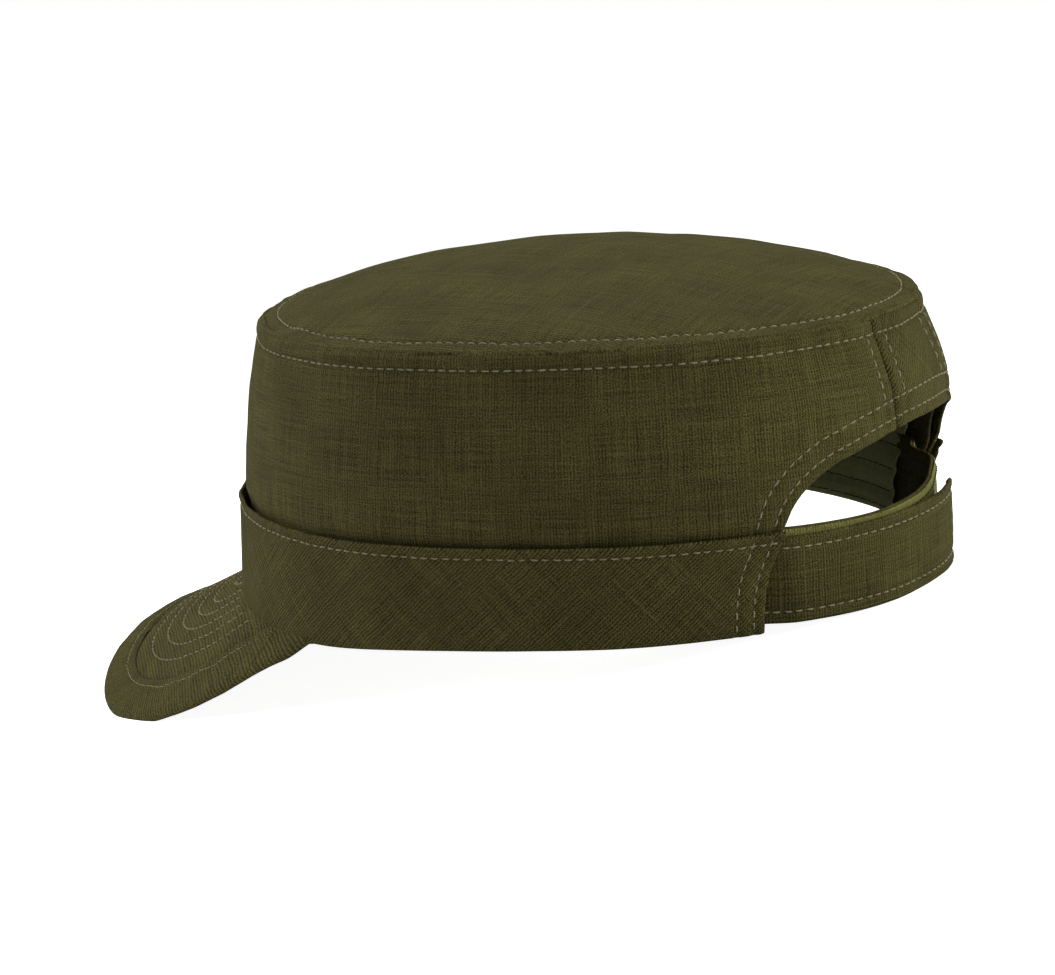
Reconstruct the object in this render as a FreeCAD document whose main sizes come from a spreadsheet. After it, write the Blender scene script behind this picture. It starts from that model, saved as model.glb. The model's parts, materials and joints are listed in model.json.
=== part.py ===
import FreeCAD, Part
import math
import os
import Sketcher

# A soft military peaked cap: a bowl-shaped crown of ripstop cloth over a padded sweatband, a stiff
# arched peak at the front, and an arched opening at the back that two straps close.
# The pieces are laid out in the wearing frame (mm): the sewn lower edge of the band is the plane
# z = 0, the head opening's centre is the origin, the peak points to -Y and the wearer's left is +X.
# At the end every piece gets the same Placement, which rests the cap on its peak and its strap.

doc = FreeCAD.newDocument("PeakedCap")

SIZES = [
    # the head opening, an oval that is widest a little in front of its centre
    ("brim_front", 103), ("brim_rear", 100), ("brim_half_width", 94),
    # the same oval at the top seam, where the crown is a little smaller
    ("seam_front", 97), ("seam_rear", 97), ("seam_half_width", 87),
    ("widest_y", -14), ("brim_front_turn", 81), ("seam_front_turn", 75),
    ("brim_rear_turn", 131), ("seam_rear_turn", 134),
    ("band_height", 26), ("seam_height", 75), ("dome_height", 9.5),
    # the layers of the wall, each given by how far its two faces lie inside the band's face
    ("layer_gap", 0.05), ("cloth", 1.0), ("thin_cloth", 0.7), ("interlining", 0.4), ("padding", 3.0),
    ("band_lift", 1), ("padding_low", 3), ("padding_high", 31), ("sweatband_high", 33),
    ("seam_tape_width", 9), ("rear_tape_width", 10),
    # the arched opening at the back and the narrow panel above it
    ("arch_half_width", 55.6), ("arch_height", 47.5), ("arch_corner", 28), ("arch_crown", 110),
    ("facing_width", 14), ("rear_panel_half_width", 16),
    # the strap and the tab that close the arch
    ("strap_low", 1.5), ("strap_high", 24.5), ("tab_low", 3), ("tab_high", 26.5),
    ("strap_inset", 0.4), ("strap_cloth", 0.8), ("tape_thickness", 0.7), ("tape_margin", 2),
    ("strap_clearance", 0.35), ("leg_clearance", 0.8), ("strap_end_angle", 102), ("sewn_in_length", 12),
    ("hook_tape_start", 4),
    # the peak: a plate bent round a sloping cylinder
    ("peak_reach", 153.5), ("peak_half_width", 91), ("peak_corner", 75), ("peak_front_radius", 150),
    ("peak_side_end", -20), ("peak_bend_radius", 145), ("peak_slope", 30.3), ("peak_lift", 2.5),
    ("board", 1.6), ("peak_border", 11), ("border_cloth", 0.8),
    # how the cap rests: nose-up by this angle
    ("rest_pitch", 10.34),
]

sheet = doc.addObject("Spreadsheet::Sheet", "Sizes")
for row, (alias, value) in enumerate(SIZES, start=1):
    sheet.set("A%d" % row, str(value))
    sheet.setAlias("A%d" % row, alias)
doc.recompute()

FAR = 200.0
REST_TOLERANCE = 0.05


def size(alias):
    """A driving dimension as a number."""
    return float(getattr(sheet, alias))


def origin_plane(body, role):
    return [f for f in body.Origin.OriginFeatures if f.Role == role][0]


def new_sketch(body, name, role, height="0"):
    """A sketch on one of the body's own origin planes, moved along that plane's normal."""
    sketch = body.newObject("Sketcher::SketchObject", name)
    sketch.AttachmentSupport = (origin_plane(body, role), "")
    sketch.MapMode = "FlatFace"
    sketch.setExpression("AttachmentOffset.Base.z", height)
    return sketch


def value_of(expression):
    """The number an expression of the sheet gives, for a sketch's first guess."""
    return float(sheet.evalExpression(expression))


def bind(sketch, constraint, name, expression):
    """Add a named constraint to a sketch and bind it to the sheet."""
    sketch.renameConstraint(sketch.addConstraint(constraint), name)
    sketch.setExpression("Constraints." + name, expression)


def tangent_join(sketch, first, first_end, second, second_end):
    sketch.addConstraint(Sketcher.Constraint("Tangent", first, first_end, second, second_end))


def between(name, height):
    """A measure of the wall at a height: it runs straight from the brim to the top seam."""
    return ("(Sizes.brim_{0} + (Sizes.seam_{0} - Sizes.brim_{0}) * ({1}) / Sizes.seam_height)"
            .format(name, height))


def oval_sketch(body, name, height, inset, scale="1"):
    """The cap's oval at a height of the wall, drawn inside the band's face by an inset.

    Six arcs meet tangentially: one across the front, two at each side that meet where the oval is
    widest, and one round the back. An inset keeps their centres and shortens their radii.
    """
    wall_height = "max(0; min(%s; Sizes.seam_height))" % height
    front, rear, half = (between(m, wall_height) for m in ("front", "rear", "half_width"))
    turn = {side: between(side + "_turn", wall_height) for side in ("front", "rear")}
    reach = {"front": "(%s + Sizes.widest_y)" % front, "rear": "(%s - Sizes.widest_y)" % rear}
    end = {}
    for side in ("front", "rear"):
        end[side] = ("((({t})^2 - (({t}) - {b})^2 - {d}^2) / (2 * (({t}) - {d})))"
                     .format(t=turn[side], b=half, d=reach[side]))
    inner = {key: "(%s) * (%s) - (%s)" % (text, scale, inset)
             for key, text in (("front_turn", turn["front"]), ("rear_turn", turn["rear"]),
                               ("front_end", end["front"]), ("rear_end", end["rear"]),
                               ("half", half))}
    guess = {key: value_of(text) for key, text in inner.items()}
    grow = value_of(scale)
    middle = size("widest_y") * grow
    front_y = (value_of(end["front"]) - value_of(front)) * grow
    rear_y = (value_of(rear) - value_of(end["rear"])) * grow
    side_x = {key: guess["half"] - guess[key] for key in ("front_turn", "rear_turn")}

    def angle(centre_y, turn_key):
        return math.atan2(middle - centre_y, side_x[turn_key])

    front_angle = angle(front_y, "front_turn")
    rear_angle = math.atan2(rear_y - middle, -side_x["rear_turn"])
    arcs = [  # centre x, centre y, radius, first angle, last angle; anticlockwise from the front
        (0, front_y, guess["front_end"], math.pi - front_angle - 2 * math.pi, front_angle),
        (side_x["front_turn"], middle, guess["front_turn"], front_angle, 0),
        (side_x["rear_turn"], middle, guess["rear_turn"], 0, rear_angle),
        (0, rear_y, guess["rear_end"], rear_angle, math.pi - rear_angle),
        (-side_x["rear_turn"], middle, guess["rear_turn"], math.pi - rear_angle, math.pi),
        (-side_x["front_turn"], middle, guess["front_turn"], math.pi, math.pi - front_angle),
    ]
    sketch = new_sketch(body, name, "XY_Plane", height)
    up = FreeCAD.Vector(0, 0, 1)
    for x, y, radius, first, last in arcs:
        circle = Part.Circle(FreeCAD.Vector(x, y, 0), up, radius)
        sketch.addGeometry(Part.ArcOfCircle(circle, first, last))
    for index in range(6):
        tangent_join(sketch, index, 2, (index + 1) % 6, 1)
    for index in (0, 3):
        sketch.addConstraint(Sketcher.Constraint("PointOnObject", index, 3, -2))
    sketch.addConstraint(Sketcher.Constraint("Equal", 1, 5))
    sketch.addConstraint(Sketcher.Constraint("Equal", 2, 4))
    for index, label in ((1, "front_side_y"), (2, "rear_side_y"), (5, "left_side_y")):
        bind(sketch, Sketcher.Constraint("DistanceY", -1, 1, index, 3, middle), label,
             "Sizes.widest_y * (%s)" % scale)
    bind(sketch, Sketcher.Constraint("DistanceX", -1, 1, 1, 2, guess["half"]), "half", inner["half"])
    for index, key in ((1, "front_turn"), (2, "rear_turn"), (0, "front_end"), (3, "rear_end")):
        bind(sketch, Sketcher.Constraint("Radius", index, guess[key]), key, inner[key])
    return sketch


def loft(body, kind, name, sketches, ruled=True):
    feature = body.newObject("PartDesign::" + kind, name)
    feature.Profile = sketches[0]
    feature.Sections = sketches[1:]
    feature.Ruled = ruled
    return feature


def ring(name, low, high, outer, inner):
    """A layer of the wall as a closed ring, between two heights and two insets."""
    body = doc.addObject("PartDesign::Body", name)
    outside = [oval_sketch(body, "%s_outer_%s" % (name, k), h, outer)
               for k, h in (("low", low), ("high", high))]
    loft(body, "AdditiveLoft", name + "_outside", outside)
    if inner is not None:
        inside = [oval_sketch(body, "%s_inner_%s" % (name, k), h, inner)
                  for k, h in (("low", low), ("high", high))]
        loft(body, "SubtractiveLoft", name + "_inside", inside)
    return body


def arch(name, grow):
    """The arched opening at the back as a solid that cuts through the wall.

    Its outline has upright legs, two corner arcs and one flat arc across the top.
    """
    body = doc.addObject("PartDesign::Body", name)
    sketch = new_sketch(body, name + "_outline", "XZ_Plane")
    half, top, corner, crown = (size(a) + value_of(grow) for a in
                                ("arch_half_width", "arch_height", "arch_corner", "arch_crown"))
    drop = math.sqrt((crown - corner) ** 2 - (half - corner) ** 2)
    corner_z = top - crown + drop
    lean = math.atan2(drop, half - corner)
    floor = -FAR / 2
    up = FreeCAD.Vector(0, 0, 1)

    def line(x1, z1, x2, z2):
        return Part.LineSegment(FreeCAD.Vector(x1, z1, 0), FreeCAD.Vector(x2, z2, 0))

    def arc(x, z, radius, first, last):
        return Part.ArcOfCircle(Part.Circle(FreeCAD.Vector(x, z, 0), up, radius), first, last)

    sketch.addGeometry(line(-half, floor, half, floor))
    sketch.addGeometry(line(half, floor, half, corner_z))
    sketch.addGeometry(arc(half - corner, corner_z, corner, 0, lean))
    sketch.addGeometry(arc(0, top - crown, crown, lean, math.pi - lean))
    sketch.addGeometry(arc(corner - half, corner_z, corner, math.pi - lean, math.pi))
    sketch.addGeometry(line(-half, corner_z, -half, floor))
    for first, second in ((5, 0), (0, 1)):
        sketch.addConstraint(Sketcher.Constraint("Coincident", first, 2, second, 1))
    for first in (1, 2, 3, 4):
        tangent_join(sketch, first, 2, first + 1, 1)
    sketch.addConstraint(Sketcher.Constraint("Horizontal", 0))
    sketch.addConstraint(Sketcher.Constraint("Vertical", 1))
    sketch.addConstraint(Sketcher.Constraint("PointOnObject", 3, 3, -2))
    sketch.addConstraint(Sketcher.Constraint("Equal", 2, 4))
    bind(sketch, Sketcher.Constraint("DistanceX", 0, 1, 0, 2, 2 * half), "span",
         "2 * (Sizes.arch_half_width + %s)" % grow)
    bind(sketch, Sketcher.Constraint("DistanceX", -1, 1, 0, 2, half), "half",
         "Sizes.arch_half_width + %s" % grow)
    sketch.addConstraint(Sketcher.Constraint("DistanceY", -1, 1, 0, 1, floor))
    bind(sketch, Sketcher.Constraint("Radius", 2, corner), "corner", "Sizes.arch_corner + %s" % grow)
    bind(sketch, Sketcher.Constraint("Radius", 3, crown), "crown", "Sizes.arch_crown + %s" % grow)
    bind(sketch, Sketcher.Constraint("DistanceY", -1, 1, 3, 3, top - crown), "crown_centre",
         "Sizes.arch_height - Sizes.arch_crown")
    pad = body.newObject("PartDesign::Pad", name + "_pad")
    pad.Profile = sketch
    pad.Length = FAR
    pad.Reversed = True
    doc.recompute()
    if body.Shape.BoundBox.YMax < FAR / 2:
        pad.Reversed = False
    return body


def box(name, low, high):
    """A cutting block between two corners."""
    block = doc.addObject("Part::Box", name)
    for side, axis in (("Length", 0), ("Width", 1), ("Height", 2)):
        setattr(block, side, high[axis] - low[axis])
    block.Placement.Base = FreeCAD.Vector(*low)
    return block


def cut(name, base, tool):
    feature = doc.addObject("Part::Cut", name)
    feature.Base = base
    feature.Tool = tool
    return feature


def common(name, base, tool):
    feature = doc.addObject("Part::Common", name)
    feature.Base = base
    feature.Tool = tool
    return feature


def fuse(name, parts):
    feature = doc.addObject("Part::MultiFuse", name)
    feature.Shapes = parts
    return feature


# The wall's layers, from the band's outer face inwards. Each is a pair of insets.
GAP = "Sizes.layer_gap"
LAYERS = {}
inset = "0"
for layer, thickness in (("band", "cloth"), ("interlining", "interlining"), ("crown", "cloth"),
                         ("tape", "thin_cloth"), ("padding", "padding"), ("sweatband", "thin_cloth")):
    LAYERS[layer] = (inset, "%s + Sizes.%s" % (inset, thickness))
    inset = LAYERS[layer][1] + " + " + GAP
LAYERS["rear_tape"] = (LAYERS["padding"][0], LAYERS["padding"][0] + " + Sizes.thin_cloth")

# The strap's and the tab's layers, which lie inside the thickness of the leg.
STRAP_LAYERS = {}
inset = "Sizes.strap_inset"
for layer, thickness, space in (("strap_cloth", "strap_cloth", GAP),
                                ("strap_hook_tape", "tape_thickness", "Sizes.strap_clearance"),
                                ("tab_loop_tape", "tape_thickness", GAP),
                                ("tab_cloth", "strap_cloth", GAP)):
    STRAP_LAYERS[layer] = (inset, "%s + Sizes.%s" % (inset, thickness))
    inset = STRAP_LAYERS[layer][1] + " + " + space

arch_tool = arch("arch_tool", "0")
arch_clear = arch("arch_clear", "(-Sizes.leg_clearance)")
arch_hook_tape = arch("arch_hook_tape", "(-Sizes.leg_clearance - Sizes.hook_tape_start)")
arch_facing_tool = arch("arch_facing_tool", "Sizes.facing_width")
rear_panel_tool = box("rear_panel_tool", (-size("rear_panel_half_width"), 0, -FAR),
                      (size("rear_panel_half_width"), FAR, FAR))
rear_half_tool = box("rear_half_tool", (-FAR, 0, -FAR), (FAR, FAR, FAR))

nodes = {}


# ---- the crown ----
def crown_wall():
    """The side of the crown in two pieces: one wraps round, and a narrow one closes the back."""
    wall = ring("crown_wall", "Sizes.band_lift", "Sizes.seam_height", *LAYERS["crown"])
    open_wall = cut("crown_wall_open", wall, arch_tool)
    nodes["crown_side"] = cut("crown_side", open_wall, rear_panel_tool)
    nodes["crown_rear"] = common("crown_rear", open_wall, rear_panel_tool)


def crown_top():
    """The top panel: a low dome whose rim drops to the top seam."""
    body = doc.addObject("PartDesign::Body", "crown_top")
    rise = ((1, 0), (0.93, 0.42), (0.78, 0.72), (0.5, 0.92), (0.12, 1))
    outer, inner = LAYERS["crown"][0], LAYERS["crown"][1]
    outside = []
    inside = []
    for step, (scale, share) in enumerate(rise):
        height = "Sizes.seam_height + Sizes.dome_height * %g" % share
        outside.append(oval_sketch(body, "dome_outer_%d" % step, height, outer, "%g" % scale))
    loft(body, "AdditiveLoft", "dome_outside", outside)
    for step, (scale, share) in enumerate(rise):
        height = "Sizes.seam_height + (Sizes.dome_height - Sizes.cloth) * %g" % share
        inside.append(oval_sketch(body, "dome_inner_%d" % step, height, inner, "%g" % scale))
    loft(body, "SubtractiveLoft", "dome_inside", inside)
    nodes["crown_top"] = body


def crown_tapes():
    """The tapes inside the crown: round the top seam, down the rear seams, and round the arch."""
    seam = ring("crown_seam_tape", "Sizes.seam_height - Sizes.seam_tape_width - Sizes.band_lift",
                "Sizes.seam_height - Sizes.band_lift", *LAYERS["tape"])
    nodes["crown_seam_tape"] = seam
    facing = ring("facing_ring", "Sizes.band_lift",
                  "Sizes.arch_height + Sizes.facing_width + Sizes.band_lift", *LAYERS["tape"])
    around = common("facing_around", facing, arch_facing_tool)
    behind = common("facing_behind", around, rear_half_tool)
    nodes["arch_facing"] = cut("arch_facing", behind, arch_tool)
    rear = ring("rear_tape_ring", "Sizes.arch_height + Sizes.cloth",
                "Sizes.seam_height - 2 * Sizes.cloth", *LAYERS["rear_tape"])
    half = size("rear_tape_width") / 2
    strips = []
    for side, name in ((-1, "right"), (1, "left")):
        x = side * size("rear_panel_half_width")
        strips.append(box("rear_tape_" + name, (x - half, 0, -FAR), (x + half, FAR, FAR)))
    nodes["rear_seam_tapes"] = common("rear_seam_tapes", rear, fuse("rear_tape_strips", strips))


# ---- the band and the sweatband ----
def band():
    outer = ring("band_ring", "0", "Sizes.band_height", *LAYERS["band"])
    nodes["band_outer"] = cut("band_outer", outer, arch_tool)
    stiff = ring("interlining_ring", "Sizes.band_lift", "Sizes.band_height - Sizes.band_lift",
                 *LAYERS["interlining"])
    nodes["band_interlining"] = cut("band_interlining", stiff, arch_tool)


def sweatband():
    """A quilted pad with a lining over it, cut back from the arch where the straps are sewn in."""
    back = arch("sweatband_back", "Sizes.facing_width")
    pad = ring("padding_ring", "Sizes.padding_low", "Sizes.padding_high", *LAYERS["padding"])
    nodes["sweatband_padding"] = cut("sweatband_padding", pad, back)
    cover = ring("sweatband_ring", "Sizes.band_lift", "Sizes.sweatband_high", *LAYERS["sweatband"])
    nodes["sweatband"] = cut("sweatband", cover, back)


# ---- the peak ----
def peak_outline(name, inset_name):
    """The peak in plan, as an upright block: a wide front arc, two corner arcs, straight sides."""
    body = doc.addObject("PartDesign::Body", name)
    sketch = new_sketch(body, name + "_outline", "XY_Plane")
    inset = value_of(inset_name)
    half, corner = size("peak_half_width") - inset, size("peak_corner") - inset
    front, tip = size("peak_front_radius") - inset, size("peak_reach") - inset
    drop = math.sqrt((front - corner) ** 2 - (half - corner) ** 2)
    corner_y = front - tip - drop
    lean = math.atan2(-drop, half - corner)
    rear = size("peak_side_end")
    up = FreeCAD.Vector(0, 0, 1)

    def line(x1, y1, x2, y2):
        return Part.LineSegment(FreeCAD.Vector(x1, y1, 0), FreeCAD.Vector(x2, y2, 0))

    def arc(x, y, radius, first, last):
        return Part.ArcOfCircle(Part.Circle(FreeCAD.Vector(x, y, 0), up, radius), first, last)

    sketch.addGeometry(line(half, rear, -half, rear))
    sketch.addGeometry(line(-half, rear, -half, corner_y))
    sketch.addGeometry(arc(corner - half, corner_y, corner, -math.pi, -math.pi - lean))
    sketch.addGeometry(arc(0, front - tip, front, -math.pi - lean, lean))
    sketch.addGeometry(arc(half - corner, corner_y, corner, lean, 0))
    sketch.addGeometry(line(half, corner_y, half, rear))
    for first, second in ((5, 0), (0, 1)):
        sketch.addConstraint(Sketcher.Constraint("Coincident", first, 2, second, 1))
    for first in (1, 2, 3, 4):
        tangent_join(sketch, first, 2, first + 1, 1)
    sketch.addConstraint(Sketcher.Constraint("Horizontal", 0))
    sketch.addConstraint(Sketcher.Constraint("Vertical", 1))
    sketch.addConstraint(Sketcher.Constraint("PointOnObject", 3, 3, -2))
    sketch.addConstraint(Sketcher.Constraint("Equal", 2, 4))
    bind(sketch, Sketcher.Constraint("DistanceX", 0, 2, 0, 1, 2 * half), "span",
         "2 * (Sizes.peak_half_width - (%s))" % inset_name)
    bind(sketch, Sketcher.Constraint("DistanceX", -1, 1, 0, 1, half), "half",
         "Sizes.peak_half_width - (%s)" % inset_name)
    bind(sketch, Sketcher.Constraint("DistanceY", -1, 1, 0, 1, rear), "side_end",
         "Sizes.peak_side_end")
    bind(sketch, Sketcher.Constraint("Radius", 2, corner), "corner",
         "Sizes.peak_corner - (%s)" % inset_name)
    bind(sketch, Sketcher.Constraint("Radius", 3, front), "front",
         "Sizes.peak_front_radius - (%s)" % inset_name)
    bind(sketch, Sketcher.Constraint("DistanceY", -1, 1, 3, 3, front - tip), "front_centre",
         "Sizes.peak_front_radius - Sizes.peak_reach")
    pad = body.newObject("PartDesign::Pad", name + "_pad")
    pad.Profile = sketch
    pad.Length = FAR
    pad.Midplane = True
    return body


def peak_sheet(name, outer_depth, inner_depth):
    """A layer of the bent plate: a thin tube whose axis slopes down towards the front."""
    slope = math.radians(size("peak_slope"))
    downhill = FreeCAD.Vector(0, -math.cos(slope), -math.sin(slope))
    upward = FreeCAD.Vector(0, -math.sin(slope), math.cos(slope))
    crest = FreeCAD.Vector(0, -size("brim_front"), size("peak_lift"))
    start = crest - upward * size("peak_bend_radius") - downhill * FAR
    shells = []
    for part_name, depth in (("outer", outer_depth), ("inner", inner_depth)):
        shell = doc.addObject("Part::Cylinder", "%s_%s" % (name, part_name))
        shell.setExpression("Radius", "Sizes.peak_bend_radius - (%s)" % depth)
        shell.Height = 2 * FAR
        shell.Placement = FreeCAD.Placement(start, FreeCAD.Rotation(FreeCAD.Vector(0, 0, 1), downhill))
        shells.append(shell)
    return cut(name, *shells)


def peak():
    """Board, top and under cloths, and the border strip folded over their rim."""
    below = ring("head_below", "-Sizes.peak_reach", "0", "-" + GAP, None)
    above = ring("head_above", "0", "Sizes.seam_height", "-" + GAP, None)
    head = fuse("head_block", [below, above])
    skin = "Sizes.border_cloth"
    board_low = "%s + Sizes.board + 2 * %s" % (skin, GAP)
    full = peak_outline("peak_full", "0")
    within = peak_outline("peak_within", skin + " + " + GAP)
    inner = peak_outline("peak_inner", "Sizes.peak_border")
    inner_clear = peak_outline("peak_inner_clear", "Sizes.peak_border - " + GAP)
    layers = {
        "visor_top_cloth": (peak_sheet("top_sheet", "0", skin), inner),
        "visor_under_cloth": (peak_sheet("under_sheet", board_low, board_low + " + " + skin), inner),
        "visor_board": (peak_sheet("board_sheet", skin + " + " + GAP, board_low + " - " + GAP), within),
    }
    for name, (sheet_part, outline) in layers.items():
        nodes[name] = cut(name, common(name + "_sheet", sheet_part, outline), head)
    whole = common("border_whole", peak_sheet("border_sheet", "0", board_low + " + " + skin), full)
    core_sheet = peak_sheet("border_core_sheet", skin, board_low)
    core = common("border_core", core_sheet, peak_outline("border_core_plan", skin))
    hollow = cut("border_hollow", whole, core)
    ring_part = cut("border_ring", hollow, inner_clear)
    nodes["visor_border"] = cut("visor_border", ring_part, head)


# ---- the strap and the tab ----
def strap_sector():
    """The space of the strap: from its sewn end to a cut square across its free end."""
    rear_turn = size("brim_rear_turn")
    reach = size("brim_rear") - size("widest_y")
    offset = rear_turn - size("brim_half_width")
    rear_end = (rear_turn ** 2 - offset ** 2 - reach ** 2) / (2 * (rear_turn - reach))
    centre = FreeCAD.Vector(0, size("brim_rear") - rear_end, 0)
    block = box("strap_sector", (0, 0, -FAR), (FAR, FAR, FAR))
    turn = FreeCAD.Rotation(FreeCAD.Vector(0, 0, 1), size("strap_end_angle") - 90)
    block.Placement = FreeCAD.Placement(centre + FreeCAD.Vector(0, 0, -FAR), turn)
    return block


def straps():
    sector = strap_sector()
    margin = " + Sizes.tape_margin"
    heights = {
        "strap_cloth": ("Sizes.strap_low", "Sizes.strap_high"),
        "strap_hook_tape": ("Sizes.strap_low" + margin, "Sizes.strap_high - Sizes.tape_margin"),
        "tab_loop_tape": ("Sizes.tab_low" + margin, "Sizes.tab_high - Sizes.cloth"),
        "tab_cloth": ("Sizes.tab_low", "Sizes.tab_high"),
    }
    for name, (low, high) in heights.items():
        layer = ring(name + "_ring", low, high, *STRAP_LAYERS[name])
        gap = arch_hook_tape if name == "strap_hook_tape" else arch_clear
        across = common(name + "_across", layer, gap)
        if name.startswith("strap"):
            nodes[name] = common(name, across, sector)
        else:
            across.Label = name
            nodes[name] = across


def sewn_ends():
    """The ends of the strap and the tab that are caught inside the legs of the arch."""
    near = arch("sewn_in_limit", "Sizes.sewn_in_length")
    for name, side, low, high in (("strap_sewn_end", 1, "strap_low", "strap_high"),
                                  ("tab_sewn_end", -1, "tab_low", "tab_high")):
        layer = ring(name + "_ring", "Sizes.%s + Sizes.cloth" % low, "Sizes.%s - Sizes.cloth" % high,
                     LAYERS["padding"][0], LAYERS["padding"][0] + " + Sizes.strap_cloth")
        inside = common(name + "_near", layer, near)
        outside = cut(name + "_leg", inside, arch_tool)
        corner = (0, 0, -FAR) if side > 0 else (-FAR, 0, -FAR)
        half = box(name + "_side", corner, (corner[0] + FAR, FAR, FAR))
        nodes[name] = common(name, outside, half)


crown_wall()
crown_top()
crown_tapes()
band()
sweatband()
peak()
straps()
sewn_ends()
doc.recompute()

# ---- rest the cap on its peak and strap ----
pitch = FreeCAD.Rotation(FreeCAD.Vector(1, 0, 0), -size("rest_pitch"))
surface_points = [pitch.multVec(point) for node in nodes.values()
                  for point in node.Shape.tessellate(REST_TOLERANCE)[0]]
extent = FreeCAD.BoundBox()
for point in surface_points:
    extent.add(point)
drop = FreeCAD.Vector(-extent.Center.x, -extent.Center.y, -extent.ZMin)
for name, node in nodes.items():
    node.Label = name
    node.Placement = FreeCAD.Placement(drop, pitch)
doc.recompute()
print("the wearing frame's origin sits at", drop, "pitched by", size("rest_pitch"))

for item in doc.Objects:
    if "Invalid" in item.State or "Error" in item.State:
        raise RuntimeError("failed feature: %s %s" % (item.Name, item.State))
os.makedirs("parts", exist_ok=True)
for name, node in nodes.items():
    shape = node.Shape
    if shape.isNull() or not shape.isValid() or not shape.Solids:
        raise RuntimeError("bad shape: " + name)
    print("%-20s %d solid(s) %8.0f mm3" % (name, len(shape.Solids), shape.Volume))
    shape.exportStep("parts/%s.step" % name)
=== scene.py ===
# %% [markdown]
# # A soft military peaked cap
# A field cap is a bowl of cloth on a band: a low dome, a side that wraps round the head, a stiff arched
# peak at the front, a quilted sweatband inside, and an arched gap at the back that a strap and a tab close.
# Every piece below is a sheet of numbered points, worked out in the frame in which the cap is worn and
# then turned into the frame in which it rests. That keeps each piece true to its paper pattern.

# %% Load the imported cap
import json
import math

import bpy
import numpy as np
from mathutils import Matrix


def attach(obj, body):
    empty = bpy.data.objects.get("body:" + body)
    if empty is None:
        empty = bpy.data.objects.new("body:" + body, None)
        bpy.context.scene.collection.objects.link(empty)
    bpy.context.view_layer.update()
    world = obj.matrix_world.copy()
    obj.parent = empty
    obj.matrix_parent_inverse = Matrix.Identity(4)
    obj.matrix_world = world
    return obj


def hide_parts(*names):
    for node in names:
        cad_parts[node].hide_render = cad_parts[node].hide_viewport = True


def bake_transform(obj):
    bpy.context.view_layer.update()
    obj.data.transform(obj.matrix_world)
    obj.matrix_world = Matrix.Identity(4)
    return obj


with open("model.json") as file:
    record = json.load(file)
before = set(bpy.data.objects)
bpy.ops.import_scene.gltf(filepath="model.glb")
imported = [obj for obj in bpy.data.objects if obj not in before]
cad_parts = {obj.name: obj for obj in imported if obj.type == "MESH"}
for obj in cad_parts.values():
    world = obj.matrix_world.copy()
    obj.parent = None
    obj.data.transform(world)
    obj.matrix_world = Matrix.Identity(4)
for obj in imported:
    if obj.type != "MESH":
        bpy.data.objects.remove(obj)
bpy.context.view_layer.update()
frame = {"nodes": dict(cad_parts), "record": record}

print("nodes in the frame:", len(frame["nodes"]))

# %% [markdown]
# ## The frame in which the cap is worn
# The cap rests on its peak and its strap, nose-up, but it is far easier to draw level: the band's lower
# edge in the plane z = 0, the peak towards -Y and the wearer's left at +X. The head opening's mount says
# where that frame lies, so the drawing is in millimetres there and one function carries it across.

# %% From the wearing frame to the resting frame
MM = 0.001
opening = next(m for m in frame["record"]["mounts"] if m["name"] == "head_opening")
WORN_UP = -np.array(opening["axis"])
WORN_LEFT = np.array([1.0, 0.0, 0.0])
WORN_BACK = np.cross(WORN_UP, WORN_LEFT)
WORN_AXES = np.stack([WORN_LEFT, WORN_BACK, WORN_UP])
WORN_ORIGIN = np.array(opening["pos_m"])


def to_rest(points):
    """Points of the wearing frame, in millimetres, as points of the resting frame, in metres."""
    return WORN_ORIGIN + (np.asarray(points, float) * MM) @ WORN_AXES


print("the cap is pitched by %.1f degrees" % math.degrees(math.acos(WORN_UP[2])))

# %% [markdown]
# ## The oval of the head
# A head is widest behind the brow and longer behind that line than in front of it. Two half ellipses
# that share their widest line give that egg shape, and the same formula at each height gives the whole
# wall. Going round, cloth is measured with a tape: `u` is the distance round from the front centre.

# %% The wall of the cap as a formula
BAND_TOP = 26.0
SEAM_Z = 75.0
WIDEST_Y = -14.0
BRIM = {"front": 103.0, "rear": 100.0, "half": 94.0}
BAND_EDGE = {"front": 100.5, "rear": 100.0, "half": 94.0}
SEAM = {"front": 91.8, "rear": 95.8, "half": 86.4}
REAR_PUFF = 5.0
CROWN_INSET = 1.3


def wall_size(name, z):
    """Front, rear or half width of the wall at a height: straight at the band, rounding in above it."""
    low = np.clip(z / BAND_TOP, 0, 1)
    high = np.clip((z - BAND_TOP) / (SEAM_Z - BAND_TOP), 0, 1.3) ** 1.5
    band = BRIM[name] + (BAND_EDGE[name] - BRIM[name]) * low
    return band + (SEAM[name] - BAND_EDGE[name]) * high


def soft_step(value):
    value = np.clip(value, 0, 1)
    return value * value * (3 - 2 * value)


def rear_puff(turn, z):
    """The wall stands out round the arch, where nothing holds it in."""
    behind = np.clip(-np.cos(turn), 0, 1) ** 3
    return REAR_PUFF * behind * soft_step((z - 14) / 14) * soft_step((SEAM_Z + 2 - z) / 24)


def oval(turn, z, inset=0.0):
    """A point of the wall: `turn` is 0 at the front and grows towards the wearer's left."""
    front, rear, half = (wall_size(n, z) for n in ("front", "rear", "half"))
    reach = np.where(np.cos(turn) > 0, front + WIDEST_Y, rear - WIDEST_Y)
    out = np.stack([reach * np.sin(turn), -half * np.cos(turn)], -1)
    out = out / np.linalg.norm(out, axis=-1, keepdims=True)
    flat = np.stack([half * np.sin(turn), WIDEST_Y - reach * np.cos(turn)], -1)
    flat = flat - out * np.asarray(inset - rear_puff(turn, z))[..., None]
    return np.concatenate([flat, (z + 0 * turn)[..., None]], -1)


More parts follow.
